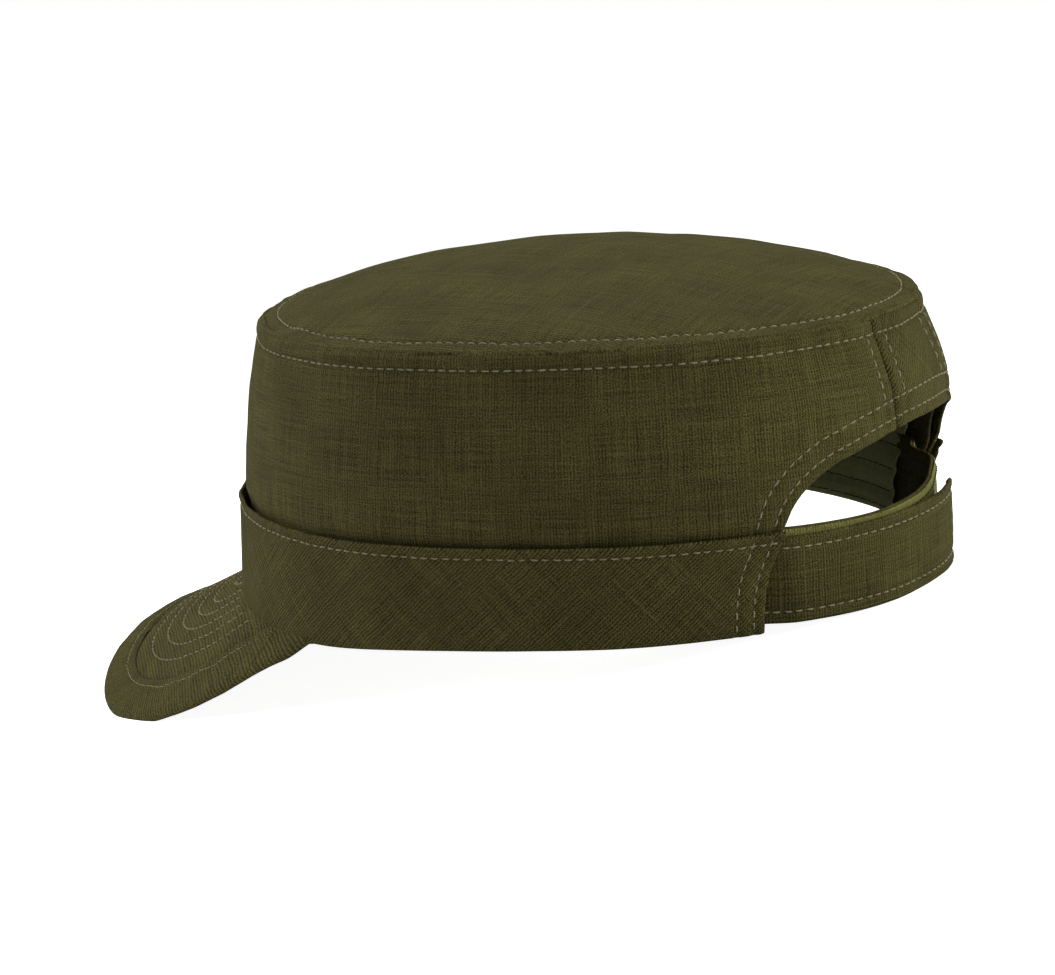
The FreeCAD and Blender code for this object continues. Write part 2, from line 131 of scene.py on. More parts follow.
TAPE_Z = 37.0
turns = np.linspace(-1.6 * math.pi, 1.6 * math.pi, 4001)
ring = oval(turns, np.full_like(turns, TAPE_Z))
lengths = np.concatenate([[0], np.cumsum(np.linalg.norm(np.diff(ring[:, :2], axis=0), axis=1))])
TAPE = lengths - np.interp(0, turns, lengths)
HALF_ROUND = float(np.interp(math.pi, turns, TAPE))


def turn_of(u):
    return np.interp(u, TAPE, turns)


def u_of_x(x, z=TAPE_Z):
    """Tape measure at the back of the cap where the wall crosses a given x."""
    half = wall_size("half", z)
    return np.interp(math.pi - np.arcsin(np.clip(x / half, -1, 1)), turns, TAPE)


print("the cap measures %.0f mm round" % (2 * HALF_ROUND))

# %% [markdown]
# ## The arched opening
# The gap at the back has upright legs, two round corners and a flat crown: three tangent arcs. The
# outline is measured on the laid-flat wall, so that stitches and tapes can run a set distance from it.

# %% The edge of the arch
ARCH_HALF, ARCH_TOP, ARCH_CORNER, ARCH_CROWN = 55.6, 47.5, 28.0, 110.0
ARCH_DROP = math.sqrt((ARCH_CROWN - ARCH_CORNER) ** 2 - (ARCH_HALF - ARCH_CORNER) ** 2)
ARCH_CORNER_Z = ARCH_TOP - ARCH_CROWN + ARCH_DROP
ARCH_LEAN = math.atan2(ARCH_DROP, ARCH_HALF - ARCH_CORNER)


def leg_lean(z):
    """The legs draw together a little at the top of the band."""
    return 2.6 * np.exp(-((z - 22) / 10) ** 2)


def arch_x(z, grow=0.0):
    """Half width of the arch at a height."""
    corner, crown = ARCH_CORNER + grow, ARCH_CROWN + grow
    rise = np.maximum(z - ARCH_CORNER_Z, 0)
    side = ARCH_HALF - ARCH_CORNER + np.sqrt(np.maximum(corner ** 2 - rise ** 2, 0))
    over = np.sqrt(np.maximum(crown ** 2 - (z - ARCH_TOP + ARCH_CROWN) ** 2, 0))
    tangent = ARCH_CORNER_Z + corner * math.sin(ARCH_LEAN)
    return np.where(z > tangent, over, side) - leg_lean(z)


def arch_outline(grow=0.0, low=0.0, count=400):
    """The arch from the right leg's foot over the top to the left leg's foot, as (u, z)."""
    corner, crown = ARCH_CORNER + grow, ARCH_CROWN + grow
    leg_z = np.linspace(low, ARCH_CORNER_Z, 60)
    turn_a = np.linspace(0, ARCH_LEAN, 80)
    turn_b = np.linspace(ARCH_LEAN, math.pi / 2, 80)
    x = np.concatenate([np.full(60, ARCH_HALF + grow), ARCH_HALF - ARCH_CORNER + corner * np.cos(turn_a),
                        crown * np.cos(turn_b)])
    z = np.concatenate([leg_z, ARCH_CORNER_Z + corner * np.sin(turn_a),
                        ARCH_TOP - ARCH_CROWN + crown * np.sin(turn_b)])
    x = x - leg_lean(z) * (x > 30)
    x = np.concatenate([x, -x[::-1]])
    z = np.concatenate([z, z[::-1]])
    return even(np.stack([u_of_x(x, z), z], -1), count)


def even(points, count):
    """The same line with its points an even distance apart."""
    run = np.concatenate([[0], np.cumsum(np.linalg.norm(np.diff(points, axis=0), axis=1))])
    keep = np.concatenate([[True], np.diff(run) > 1e-9])
    at = np.linspace(0, run[-1], count)
    return np.stack([np.interp(at, run[keep], points[keep, k]) for k in range(points.shape[1])], -1)


ARCH_EDGE = arch_outline(low=-20.0)


def arch_distance(u, z):
    """How far a point of the laid-flat wall is from the edge of the arch."""
    u = np.where(np.asarray(u) < 0, u + 2 * HALF_ROUND, u)
    shape = np.broadcast(u, z).shape
    flat = np.stack([np.broadcast_to(u, shape).ravel(), np.broadcast_to(z, shape).ravel()], -1)
    gap = flat[:, None, :] - ARCH_EDGE[None, ::2, :]
    return np.sqrt((gap ** 2).sum(-1).min(1)).reshape(shape)


print("arch: %.0f mm wide, %.0f mm high" % (2 * ARCH_HALF, ARCH_TOP))

# %% [markdown]
# ## Cloth that isn't perfect
# Sewn cloth is never a clean surface. Thread pulls it down along each row, the fullness between rows
# puffs up, and seams pucker. A smooth random wave along the tape gives puckers; a narrow valley gives the
# pull of a row. Both are plain functions of the pattern's measures, so every run makes the same cap.

# %% Waves and valleys
def wander(x, scale, seed):
    """A smooth random wave between -1 and 1 along one measure."""
    table = np.random.default_rng(seed).uniform(-1, 1, 2048)
    place = np.asarray(x, float) / scale + 1000
    cell = np.floor(place).astype(int)
    part = place - cell
    part = part * part * (3 - 2 * part)
    return table[cell % 2048] * (1 - part) + table[(cell + 1) % 2048] * part


def rumple(x, y, scale, seed):
    """A smooth random height over two measures."""
    table = np.random.default_rng(seed).uniform(-1, 1, (256, 256))
    px, py = np.asarray(x, float) / scale + 500, np.asarray(y, float) / scale + 500
    cx, cy = np.floor(px).astype(int), np.floor(py).astype(int)
    fx, fy = px - cx, py - cy
    fx, fy = fx * fx * (3 - 2 * fx), fy * fy * (3 - 2 * fy)
    a, b = table[cx % 256, cy % 256], table[(cx + 1) % 256, cy % 256]
    c, d = table[cx % 256, (cy + 1) % 256], table[(cx + 1) % 256, (cy + 1) % 256]
    return (a * (1 - fx) + b * fx) * (1 - fy) + (c * (1 - fx) + d * fx) * fy


def valley(distance, width=0.8):
    """1 on a line, falling to 0 a little way off it."""
    return np.exp(-(np.asarray(distance) / width) ** 2)


def steps(low, high, coarse, fine=None, lines=(), reach=2.0):
    """Grid lines between two measures, closer together near the given lines."""
    place, found = low, [low]
    while place < high:
        near = any(abs(place - line) < reach for line in lines)
        place += (fine if near and fine else coarse)
        found.append(min(place, high))
    return np.array(found)


# %% [markdown]
# ## From a sheet of points to a piece of cloth
# A piece is a grid of points on its outer face. The inner face is the same grid pushed in along the
# surface normal, and a rounded strip joins them round the rim, as a folded edge does. The grid's own
# measures become the UV map, so the weave later follows the cut of each panel.

# %% The sheet builder
def normals_of(points, flip=False, closed=False):
    if closed:
        points = np.concatenate([points[:, -1:], points, points[:, :1]], axis=1)
    across = np.gradient(points, axis=1)
    along = np.gradient(points, axis=0)
    if closed:
        across, along = across[:, 1:-1], along[:, 1:-1]
    normal = np.cross(across, along)
    normal /= np.linalg.norm(normal, axis=-1, keepdims=True) + 1e-12
    return -normal if flip else normal


def finish_mesh(name, points, faces, uv, material):
    """Make the object from points of the wearing frame, smooth-shaded, with its cloth measures as UVs."""
    mesh = bpy.data.meshes.new(name)
    mesh.from_pydata(to_rest(points).tolist(), [], [list(f) for f in faces])
    layer = mesh.uv_layers.new(name="cloth")
    loops = np.zeros(len(mesh.loops), np.int32)
    mesh.loops.foreach_get("vertex_index", loops)
    layer.data.foreach_set("uv", (np.asarray(uv, float)[loops] * MM).ravel())
    mesh.polygons.foreach_set("use_smooth", [True] * len(mesh.polygons))
    mesh.materials.append(material)
    mesh.update()
    obj = bpy.data.objects.new(name, mesh)
    bpy.context.scene.collection.objects.link(obj)
    return obj


def cloth_sheet(name, outer, uv, thickness, material, flip=False, closed=False):
    """A closed sheet of cloth from a grid of points on its outer face; a closed grid goes all the way round."""
    rows, columns = outer.shape[:2]
    inner = outer - normals_of(outer, flip, closed) * thickness
    grid = np.arange(rows * columns).reshape(rows, columns)
    faces = []

    def quads(a, reverse):
        if closed:
            a = np.concatenate([a, a[:, :1]], axis=1)
        found = np.stack([a[:-1, :-1], a[:-1, 1:], a[1:, 1:], a[1:, :-1]], -1).reshape(-1, 4)
        return found[:, ::-1] if reverse else found

    faces.append(quads(grid, flip))
    faces.append(quads(grid + rows * columns, not flip))
    if closed:
        rims = [(grid[0], grid[1]), (grid[-1, ::-1], grid[-2, ::-1])]
    else:
        rims = [(np.concatenate([grid[0, :-1], grid[:-1, -1], grid[-1, :0:-1], grid[:0:-1, 0]]),
                 np.concatenate([grid[1, :-1], grid[:-1, -2], grid[-2, :0:-1], grid[:0:-1, 1]]))]
    flat_outer, flat_inner, flat_uv = outer.reshape(-1, 3), inner.reshape(-1, 3), uv.reshape(-1, 2)
    points, uvs, count = [flat_outer, flat_inner], [flat_uv, flat_uv], 2 * rows * columns
    for loop, inward in rims:
        away = flat_outer[loop] - flat_outer[inward]
        away /= np.linalg.norm(away, axis=1, keepdims=True) + 1e-12
        points.append((flat_outer[loop] + flat_inner[loop]) / 2 + away * thickness * 0.4)
        uvs.append(flat_uv[loop])
        rim = np.arange(len(loop)) + count
        count += len(loop)
        for near, far in ((loop, rim), (rim, loop + rows * columns)):
            strip = np.stack([near, far, np.roll(far, -1), np.roll(near, -1)], -1)
            faces.append(strip[:, ::-1] if flip else strip)
    return finish_mesh(name, np.concatenate(points), np.concatenate(faces), np.concatenate(uvs), material)


# %% [markdown]
# ## Stitches
# A lockstitch shows as a row of short threads that rise out of one needle hole and dive into the next.
# Each is a small bent tube, thick in the middle and drawn in at its ends, and all the stitches of one seam
# are one piece. Thread length and place vary a little, as a machine's do.

# %% The stitch builder
THREAD = 0.5
PITCH = 2.9


def stitch_row(points, normals, pitch=PITCH, thread=THREAD, seed=1, lift=0.42):
    """Stitches along a finely divided line, as one block of points, faces and thread measures."""
    random = np.random.default_rng(seed)
    run = np.concatenate([[0], np.cumsum(np.linalg.norm(np.diff(points, axis=0), axis=1))])
    count = max(1, int(run[-1] / pitch))
    starts = (np.arange(count) + 0.1) * run[-1] / count + random.uniform(-0.06, 0.06, count) * pitch
    length = pitch * random.uniform(0.74, 0.86, count)
    rings, sides = 7, 6
    part = np.linspace(0, 1, rings)
    at = np.clip(starts[:, None] + length[:, None] * part, 0, run[-1])
    centre = np.stack([np.interp(at, run, points[:, k]) for k in range(3)], -1)
    out = np.stack([np.interp(at, run, normals[:, k]) for k in range(3)], -1)
    out /= np.linalg.norm(out, axis=-1, keepdims=True) + 1e-12
    ahead = centre[:, -1:] - centre[:, :1]
    ahead /= np.linalg.norm(ahead, axis=-1, keepdims=True) + 1e-12
    side = np.cross(ahead, out)
    arch = np.sin(part * math.pi) ** 0.7
    slant = random.uniform(-0.07, 0.07, count)[:, None] * (part - 0.5) * 2
    centre = centre + out * ((arch - 1) * thread * 0.85 + thread * lift)[None, :, None]
    centre = centre + side * slant[..., None]
    radius = thread / 2 * (0.45 + 0.55 * arch)
    angle = np.arange(sides) * 2 * math.pi / sides
    spoke = (side[:, :, None, :] * np.cos(angle)[None, None, :, None]
             + out[:, :, None, :] * np.sin(angle)[None, None, :, None])
    body = centre[:, :, None, :] + spoke * radius[None, :, None, None]
    index = np.arange(count * rings * sides).reshape(count, rings, sides)
    turned = np.roll(index, -1, axis=2)
    walls = np.stack([index[:, :-1], turned[:, :-1], turned[:, 1:], index[:, 1:]], -1).reshape(-1, 4)
    ends = np.concatenate([index[:, 0, ::-1][:, [0, 1, 2, 3]], index[:, 0, ::-1][:, [3, 4, 5, 0]],
                           index[:, -1][:, [0, 1, 2, 3]], index[:, -1][:, [3, 4, 5, 0]]])
    along = np.broadcast_to(at[:, :, None], body.shape[:3])
    around = np.broadcast_to(angle[None, None, :], body.shape[:3])
    return body.reshape(-1, 3), np.concatenate([walls, ends]), np.stack([along, around], -1).reshape(-1, 2)


def stitches(name, rows, material):
    """Join several rows of stitches into one piece."""
    points, faces, uv, count = [], [], [], 0
    for block in rows:
        points.append(block[0])
        faces.append(block[1] + count)
        uv.append(block[2])
        count += len(block[0])
    return finish_mesh(name, np.concatenate(points), np.concatenate(faces), np.concatenate(uv), material)


def row_on(surface, a, b, **settings):
    """A row of stitches on a surface, along a line given by the surface's own two measures."""
    line = even(np.stack([a, b], -1), max(len(a), 500))
    a, b = line[:, 0], line[:, 1]
    step = 0.15
    point = surface(a, b)
    across = surface(a + step, b) - surface(a - step, b)
    along = surface(a, b + step) - surface(a, b - step)
    normal = np.cross(across, along)
    normal /= np.linalg.norm(normal, axis=-1, keepdims=True) + 1e-12
    return stitch_row(point, normal, **settings)

# %% [markdown]
# ## The finish of the cloth
# Ripstop is a plain weave with a thicker yarn every few millimetres both ways. One node group draws the
# weave, the yarn's unevenness and the grid from a panel's cloth measures, and puts out a tint and a
# height. Each material turns it to the way that its panel was cut, and gives it its own colours.

# %% Node helpers
def linear(red, green, blue):
    """A colour as seen on screen (0 to 255) as the shader's linear colour."""
    return tuple((c / 255 / 12.92 if c / 255 <= 0.04045 else ((c / 255 + 0.055) / 1.055) ** 2.4)
                 for c in (red, green, blue)) + (1.0,)


class Nodes:
    """Short calls for building a node tree."""

    def __init__(self, tree):
        self.tree = tree

    def add(self, kind, **settings):
        node = self.tree.nodes.new(kind)
        for key, value in settings.items():
            setattr(node, key, value)
        return node

    def feed(self, socket, value):
        if isinstance(value, bpy.types.NodeSocket):
            self.tree.links.new(value, socket)
        else:
            socket.default_value = value

    def math(self, operation, *values, clamp=False):
        node = self.add("ShaderNodeMath", operation=operation, use_clamp=clamp)
        for socket, value in zip(node.inputs, values):
            self.feed(socket, value)
        return node.outputs[0]

    def noise(self, vector, scale, detail=2.0, roughness=0.5):
        node = self.add("ShaderNodeTexNoise")
        self.feed(node.inputs["Vector"], vector)
        node.inputs["Scale"].default_value = scale
        node.inputs["Detail"].default_value = detail
        node.inputs["Roughness"].default_value = roughness
        return node.outputs["Fac"]

    def scaled(self, vector, x, y, z=1.0):
        node = self.add("ShaderNodeVectorMath", operation="MULTIPLY")
        self.feed(node.inputs[0], vector)
        node.inputs[1].default_value = (x, y, z)
        return node.outputs[0]

    def mix(self, factor, first, second):
        node = self.add("ShaderNodeMix", data_type="RGBA")
        self.feed(node.inputs[0], factor)
        self.feed(node.inputs[6], first)
        self.feed(node.inputs[7], second)
        return node.outputs[2]

    def ramp(self, value, low, high):
        node = self.add("ShaderNodeMapRange", interpolation_type="SMOOTHSTEP")
        self.feed(node.inputs[0], value)
        node.inputs[1].default_value, node.inputs[2].default_value = low, high
        return node.outputs[0]


def new_group(name, inputs, outputs):
    tree = bpy.data.node_groups.new(name, "ShaderNodeTree")
    for label, kind, value in inputs:
        socket = tree.interface.new_socket(label, in_out="INPUT", socket_type=kind)
        if value is not None:
            socket.default_value = value
    for label, kind in outputs:
        tree.interface.new_socket(label, in_out="OUTPUT", socket_type=kind)
    n = Nodes(tree)
    return tree, n, n.add("NodeGroupInput"), n.add("NodeGroupOutput")


def weave_group():
    """Weave, slubs and the ripstop grid. Measures are in millimetres inside the group."""
    tree, n, given, result = new_group(
        "ripstop weave",
        [("Cloth", "NodeSocketVector", None), ("Turn", "NodeSocketFloat", 0.0),
         ("Yarn", "NodeSocketFloat", 0.82), ("Grid", "NodeSocketFloat", 7.0),
         ("Grid strength", "NodeSocketFloat", 1.0), ("Rib", "NodeSocketFloat", 0.6)],
        [("Tint", "NodeSocketFloat"), ("Height", "NodeSocketFloat"), ("Mottle", "NodeSocketFloat")])
    turn = n.add("ShaderNodeVectorRotate", rotation_type="Z_AXIS")
    n.feed(turn.inputs["Vector"], n.scaled(given.outputs["Cloth"], 1000, 1000, 0))
    n.feed(turn.inputs["Angle"], given.outputs["Turn"])
    cloth = turn.outputs[0]
    wobble = n.add("ShaderNodeTexNoise")
    n.feed(wobble.inputs["Vector"], cloth)
    wobble.inputs["Scale"].default_value = 0.22
    shift = n.add("ShaderNodeVectorMath", operation="MULTIPLY_ADD")
    n.feed(shift.inputs[0], wobble.outputs["Color"])
    shift.inputs[1].default_value = (0.9, 0.9, 0)
    n.feed(shift.inputs[2], cloth)
    cloth = shift.outputs[0]
    parts = n.add("ShaderNodeSeparateXYZ")
    n.feed(parts.inputs[0], cloth)
    x, y = parts.outputs[0], parts.outputs[1]
    yarns = []
    for measure in (x, y):
        phase = n.math("DIVIDE", n.math("MULTIPLY", measure, 2 * math.pi), given.outputs["Yarn"])
        yarns.append(n.math("SINE", phase))
    checks = n.math("MULTIPLY", yarns[0], yarns[1])
    rib = n.math("MULTIPLY", yarns[0], given.outputs["Rib"])
    slub_x = n.noise(n.scaled(cloth, 2.4, 0.05), 1.0, 2.0)
    slub_y = n.noise(n.scaled(cloth, 0.05, 2.4), 1.0, 2.0)
    fuzz = n.noise(cloth, 2.6, 3.0, 0.8)
    slubs = n.math("ADD", n.math("SUBTRACT", slub_x, 0.5), n.math("SUBTRACT", slub_y, 0.5))
    lines = []
    for measure in (x, y):
        cell = n.math("FRACT", n.math("DIVIDE", measure, given.outputs["Grid"]))
        off = n.math("ABSOLUTE", n.math("SUBTRACT", cell, 0.5))
        lines.append(n.ramp(off, 0.05, 0.015))
    grid = n.math("MULTIPLY", n.math("MAXIMUM", lines[0], lines[1]), given.outputs["Grid strength"])
    grid = n.math("MULTIPLY", grid, n.ramp(n.noise(cloth, 0.25), 0.25, 0.75))
    tint = n.math("ADD", n.math("MULTIPLY", checks, 0.14), n.math("MULTIPLY", rib, 0.32))
    tint = n.math("ADD", tint, n.math("MULTIPLY", slubs, 1.1))
    tint = n.math("ADD", tint, n.math("MULTIPLY", n.math("SUBTRACT", fuzz, 0.5), 4.6))
    tint = n.math("ADD", tint, n.math("MULTIPLY", grid, 0.28))
    n.feed(result.inputs["Tint"], n.math("ADD", tint, 0.5, clamp=True))
    height = n.math("ADD", n.math("MULTIPLY", checks, 0.25), n.math("MULTIPLY", rib, 0.35))
    height = n.math("ADD", height, n.math("MULTIPLY", slubs, 0.9))
    height = n.math("ADD", height, n.math("MULTIPLY", n.math("SUBTRACT", fuzz, 0.5), 0.8))
    n.feed(result.inputs["Height"], n.math("ADD", height, n.math("MULTIPLY", grid, 0.9)))
    n.feed(result.inputs["Mottle"], n.noise(cloth, 0.045, 3.0))
    return tree


def worn_edge_group():
    """Fading: a mask that is stronger in patches, for lighter worn places."""
    tree, n, given, result = new_group("wear patches", [("Cloth", "NodeSocketVector", None)],
                                       [("Mask", "NodeSocketFloat")])
    place = n.scaled(given.outputs["Cloth"], 1000, 1000, 0)
    patches = n.ramp(n.noise(place, 0.03, 4.0), 0.5, 0.75)
    grain = n.ramp(n.noise(place, 0.8, 2.0), 0.35, 0.7)
    n.feed(result.inputs["Mask"], n.math("MULTIPLY", patches, grain))
    return tree


WEAVE = weave_group()
WEAR = worn_edge_group()
print("node groups:", WEAVE.name, "and", WEAR.name)


# %% Cloth materials
def cloth_material(name, dark, light, turn=0.0, grid=7.0, grid_strength=1.0, yarn=0.82, rib=0.6,
                   relief=0.2, sheen=0.06):
    """A woven cloth: the weave group tints it, and lifts it through a Bump node."""
    material = bpy.data.materials.new(name)
    material.use_nodes = True
    n = Nodes(material.node_tree)
    shader = material.node_tree.nodes["Principled BSDF"]
    uv = n.add("ShaderNodeUVMap", uv_map="cloth").outputs[0]
    weave = n.add("ShaderNodeGroup", node_tree=WEAVE)
    n.feed(weave.inputs["Cloth"], uv)
    for label, value in (("Turn", turn), ("Yarn", yarn), ("Grid", grid), ("Rib", rib),
                         ("Grid strength", grid_strength)):
        weave.inputs[label].default_value = value
    wear = n.add("ShaderNodeGroup", node_tree=WEAR)
    n.feed(wear.inputs["Cloth"], uv)
    colour = n.mix(weave.outputs["Tint"], linear(*dark), linear(*light))
    deep = tuple(c * 0.86 for c in linear(*dark)[:3]) + (1.0,)
    colour = n.mix(n.math("MULTIPLY", n.ramp(weave.outputs["Mottle"], 0.35, 0.8), 0.25), colour, deep)
    pale = tuple(c * 1.25 for c in linear(*light)[:3]) + (1.0,)
    colour = n.mix(n.math("MULTIPLY", wear.outputs["Mask"], 0.12), colour, pale)
    n.feed(shader.inputs["Base Color"], colour)
    n.feed(shader.inputs["Roughness"], n.math("ADD", n.math("MULTIPLY", weave.outputs["Tint"], 0.12), 0.8))
    shader.inputs["Sheen Weight"].default_value = sheen
    shader.inputs["Sheen Roughness"].default_value = 0.5
    shader.inputs["Sheen Tint"].default_value = linear(*light)
    shader.inputs["Specular IOR Level"].default_value = 0.12
    bump = n.add("ShaderNodeBump")
    bump.inputs["Strength"].default_value = 1.0
    bump.inputs["Distance"].default_value = relief * MM
    n.feed(bump.inputs["Height"], weave.outputs["Height"])
    n.feed(shader.inputs["Normal"], bump.outputs[0])
    return material


DARK, LIGHT = (33, 31, 7), (101, 95, 52)
BIAS = math.radians(48)
straight = cloth_material("ripstop straight grain", DARK, LIGHT)
side_cloth = cloth_material("ripstop side panel", DARK, LIGHT, grid=6.6, grid_strength=0.8)
bias_cloth = cloth_material("ripstop cut on the bias", DARK, LIGHT, turn=BIAS, rib=1.0)
strap_cloth = cloth_material("ripstop strap", DARK, LIGHT, grid=6.0, grid_strength=1.3)
# The lining's own pale colour, raised further: painted light that stands in for the light reaching the cap's
# inside.
lining_painted_light = cloth_material("plain lining", (136, 136, 90), (184, 184, 132), grid_strength=0.0, rib=0.2,
                        yarn=0.5, relief=0.1)
tape_cloth = cloth_material("herringbone tape", (58, 56, 32), (100, 96, 62), grid=2.4,
                            grid_strength=0.8, yarn=0.5, turn=BIAS)
buckram = cloth_material("buckram", (150, 146, 132), (196, 192, 178), grid=1.8, yarn=0.9)
wadding = cloth_material("wadding", (96, 94, 76), (140, 138, 116), grid_strength=0.0, rib=0.0,
                         yarn=2.0, relief=0.4)
board = cloth_material("peak board", (40, 41, 42), (58, 59, 60), grid_strength=0.0, rib=0.0, relief=0.05)
loop_pile = cloth_material("loop tape", (98, 98, 44), (160, 158, 92), grid=1.5, grid_strength=0.8,
                           yarn=0.9, rib=0.5, relief=0.35)
hook_pile = cloth_material("hook tape", (18, 18, 10), (44, 43, 28), grid=1.3, grid_strength=1.2,
                           yarn=1.1, relief=0.35)
thread = cloth_material("sewing thread", (120, 116, 88), (190, 186, 154), grid_strength=0.0, yarn=0.5,
                        rib=1.0, turn=math.radians(35), relief=0.1, sheen=0.1)
dark_thread = cloth_material("dark sewing thread", (40, 38, 20), (96, 92, 66), grid_strength=0.0,
                             yarn=0.5, rib=1.0, turn=math.radians(35), relief=0.1, sheen=0.1)
print("materials:", len(bpy.data.materials))

# %% [markdown]
# ## The crown's side and the narrow rear panel
# The side is one strip that wraps round from rear seam to rear seam. Its lower edge hides behind the
# band, except over the arch, whose edge it is turned in along. The grid's columns therefore start at the
# arch's edge, and its rows crowd together where stitches pull the cloth down.

# %% Crown wall surfaces
def place(piece, nodes, slot, body="cap"):
    """Hang a piece on the part of the cap that it rides on and hide the nodes that it stands for. The slot, its
    finish, is not used.
    """
    if body:
        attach(piece, body)
    if nodes:
        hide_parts(*nodes.split())


REAR_SEAM_X = 16.0
REAR_SEAM_U = HALF_ROUND - float(u_of_x(REAR_SEAM_X, 60.0))
SIDE_END = HALF_ROUND - REAR_SEAM_U
ROW_NEAR, ROW_FAR = 2.7, 7.4
TOP_ROW = 4.8


def wrapped(u):
    """The tape measure that a place has on its own panel, whichever way round it was reached."""
    u = np.where(u > 2 * HALF_ROUND - SIDE_END, u - 2 * HALF_ROUND, u)
    return np.where(u < -SIDE_END, u + 2 * HALF_ROUND, u)


def wall_relief(u, z):
    """How far the crown's cloth stands out from its smooth shape."""
    u = wrapped(u)
    below = SEAM_Z - z
    to_arch = arch_distance(u, z)
    relief = 0.7 * rumple(u, z, 34, 11) + 0.16 * rumple(u, z * 1.6, 9, 12)
    relief += 0.55 * wander(u, 6.5, 13) * np.exp(-(below / 7) ** 2)
    relief += 0.35 * wander(u, 8.0, 14) * np.exp(-((z - BAND_TOP) / 6) ** 2)
    relief -= 0.55 * valley(below - TOP_ROW) + 0.9 * valley(below, 1.1)
    relief += 0.35 * valley(below - 2.4, 1.4)
    relief -= 0.4 * valley(to_arch - ROW_NEAR, 0.7) + 0.35 * valley(to_arch - ROW_FAR, 0.7)
    relief += 0.3 * wander(u + z, 7, 15) * np.exp(-(to_arch / 9) ** 2)
    to_seam = np.abs(np.abs(u) - SIDE_END)
    relief -= 0.9 * valley(to_seam, 0.8)
    relief -= 0.3 * valley(to_seam - 4.5, 0.7)
    return relief - 1.6 * np.clip((BAND_TOP + 3 - z) / 5, 0, 1)


def arch_height(u):
    """Height of the arch's edge at a place on the tape, and far below where there is no arch."""
    half = ARCH_EDGE[len(ARCH_EDGE) // 2 - 1::-1]
    reach = np.maximum.accumulate(HALF_ROUND - half[:, 0])
    away = np.abs(HALF_ROUND - np.abs(u))
    return np.where(away < reach[-1], np.interp(away, reach, half[:, 1]), -99.0)


def crown_surface(u, z):
    return oval(turn_of(u), z, inset=CROWN_INSET - wall_relief(u, z))


def crown_panel(name, u_lines, low, material):
    """A panel of the wall between the given tape measures, from the arch or the band to the top seam."""
    edge = np.maximum(low, arch_height(u_lines))
    lines = (SEAM_Z - TOP_ROW, SEAM_Z, low)
    share = (steps(low, SEAM_Z, 1.2, 0.45, lines, 3.5) - low) / (SEAM_Z - low)
    z = edge[None, :] + (SEAM_Z - edge)[None, :] * share[:, None]
    u = np.broadcast_to(u_lines, z.shape)
    return cloth_sheet(name, crown_surface(u, z), np.stack([u, z], -1), 0.9, material)


LEG_U = float(u_of_x(ARCH_HALF, 20.0))
half_lines = steps(0, SIDE_END, 1.6, 0.6, (LEG_U, LEG_U + 28, SIDE_END), 15.0)
side_lines = np.concatenate([-half_lines[:0:-1], half_lines])
crown_side = crown_panel("crown_side_panel", side_lines, 19.0, side_cloth)
rear_lines = steps(SIDE_END, HALF_ROUND + REAR_SEAM_U, 0.7)
crown_rear = crown_panel("crown_rear_panel", rear_lines, 30.0, bias_cloth)
for piece, node in ((crown_side, "crown_side"), (crown_rear, "crown_rear")):
    place(piece, node, "shell_cloth")
print("crown side:", len(crown_side.data.polygons), "faces")

# %% [markdown]
# ## The top panel
# The top is one flat-cut panel that the seam draws into a low dome. It leaves the seam at a slant, turns
# over a soft shoulder a few millimetres in, and is nearly flat in the middle. A row of stitches holds the
# seam allowance down all the way round.

# %% The top panel's surface
DOME = 13.6
DOME_SHOULDER = 0.95
DOME_POWER = 2.3
DOME_ROW = 4.6


def dome_surface(u, d):
    """A point of the top panel, from the tape measure at its rim and the distance in from the seam."""
    rim = oval(turn_of(u), np.full_like(u, SEAM_Z), inset=CROWN_INSET + 0.5)
    reach = np.linalg.norm(rim[..., :2], axis=-1)
    share = np.clip(1 - d / reach, 1e-6, 1)
    flat = rim[..., :2] * share[..., None]
    height = DOME * (1 - share ** DOME_POWER) ** DOME_SHOULDER
    relief = 0.5 * rumple(rim[..., 0], rim[..., 1], 7, 21) * np.exp(-((d - 2) / 6) ** 2)
    relief += 0.25 * rumple(*flat.T, 11, 22).T
    relief += 0.9 * rumple(*flat.T, 38, 23).T * np.clip(d / 20, 0, 1)
    relief -= 0.5 * valley(d - DOME_ROW)
    return np.concatenate([flat, (SEAM_Z - 0.4 + height + relief)[..., None]], -1)


around = np.arange(-HALF_ROUND, HALF_ROUND, 1.5)
inward = np.concatenate([steps(0, 12, 0.45), steps(14, 40, 2.0), steps(43, 82, 3.0)])
share = inward[:, None] / inward[-1]
reach = np.linalg.norm(oval(turn_of(around), np.full_like(around, SEAM_Z))[:, :2], axis=-1)
depth = np.where(inward[:, None] < 14, inward[:, None], 14 + (inward[:, None] - 14) / 68 * (reach - 16)[None, :])
dome = dome_surface(np.broadcast_to(around, depth.shape), depth)
crown_top = cloth_sheet("crown_top_panel", dome, dome[..., :2], 0.9, side_cloth, closed=True)
cap_points = dome[-1]
button = np.stack([cap_points.mean(0) + (cap_points - cap_points.mean(0)) * s for s in (1.15, 0.7, 0.3, 0.02)])
button[..., 2] = cap_points[:, 2].mean() + 0.15
middle = cloth_sheet("crown_top_middle", button, button[..., :2], 0.9, side_cloth, closed=True)
place(crown_top, "crown_top", "shell_cloth")
place(middle, "", "shell_cloth")
print("top panel:", len(crown_top.data.polygons), "faces")

# %% [markdown]
# ## The band
# The band is cut on the bias so that it gives a little, and runs from leg to leg of the arch. Its lower
# edge dips at the front, where the peak pulls it down. One row of stitches holds its top edge.

# %% The band's surface
DIP = 4.3
BAND_ROW = BAND_TOP - 2.5


def dip(u):
    """How far the band's lower edge sags towards the front."""
    turn = np.degrees(np.abs(turn_of(u)))
    share = np.clip((115 - turn) / 50, 0, 1)
    return DIP * share * share * (3 - 2 * share)


